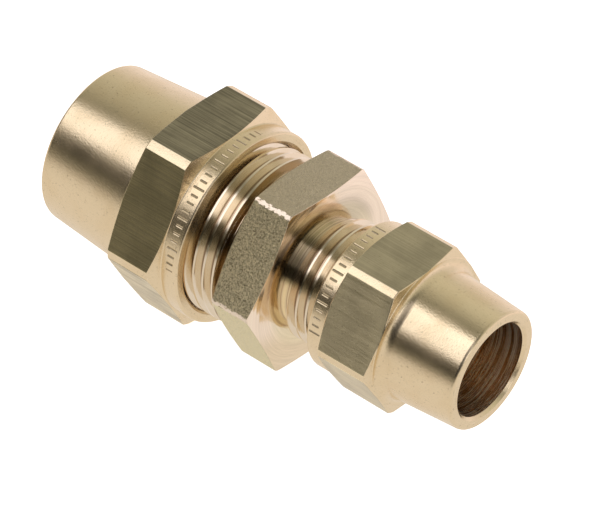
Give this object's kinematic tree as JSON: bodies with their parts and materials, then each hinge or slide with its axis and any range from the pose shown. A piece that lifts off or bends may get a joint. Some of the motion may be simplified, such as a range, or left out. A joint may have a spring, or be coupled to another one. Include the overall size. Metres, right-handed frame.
{
  "type": "compression fitting",
  "caption": "Straight reducing compression coupling in brass: hexagonal body with a threaded spigot each side, long tapered nuts and compression rings for 22 mm and 15 mm tube.",
  "frame": {"origin": "on the bore axis, at the middle of the body's hexagon", "axes": "+X along the bore from the 22 mm end to the 15 mm end, +Z normal to a flat of the body's hexagon"},
  "size_m": [0.076, 0.036, 0.033],
  "materials": {
    "forged_brass": "hot forged and sand-blasted hexagon, bright machined faces and threads",
    "turned_brass": "satin turned sleeve, fine drawn-bar grain on the flats",
    "ring_brass": "bright turned"
  },
  "bodies": {
    "body": {"coupling_body": "forged_brass"},
    "ring_22": {"compression_ring_22": "ring_brass"},
    "nut_22": {"nut_22": "turned_brass"},
    "ring_15": {"compression_ring_15": "ring_brass"},
    "nut_15": {"nut_15": "turned_brass"}
  },
  "joints": [
    {"name": "advance_22", "type": "slide", "parent": "body", "child": "ring_22", "axis": [1, 0, 0], "range_m": [-0.005, 0.00182]},
    {"name": "turn_22", "type": "hinge", "parent": "ring_22", "child": "nut_22", "pos_m": [-0.0185, 0, 0], "axis": [1, 0, 0], "range_deg": [-990, 360]},
    {"name": "advance_15", "type": "slide", "parent": "body", "child": "ring_15", "axis": [-1, 0, 0], "range_m": [-0.0041, 0.00182]},
    {"name": "turn_15", "type": "hinge", "parent": "ring_15", "child": "nut_15", "pos_m": [0.0186, 0, 0], "axis": [-1, 0, 0], "range_deg": [-810, 360]}
  ],
  "couplings": [
    {"joint": "advance_22", "follows": "turn_22", "m_per_rad": 0.00028875},
    {"joint": "advance_15", "follows": "turn_15", "m_per_rad": 0.00028875}
  ]
}
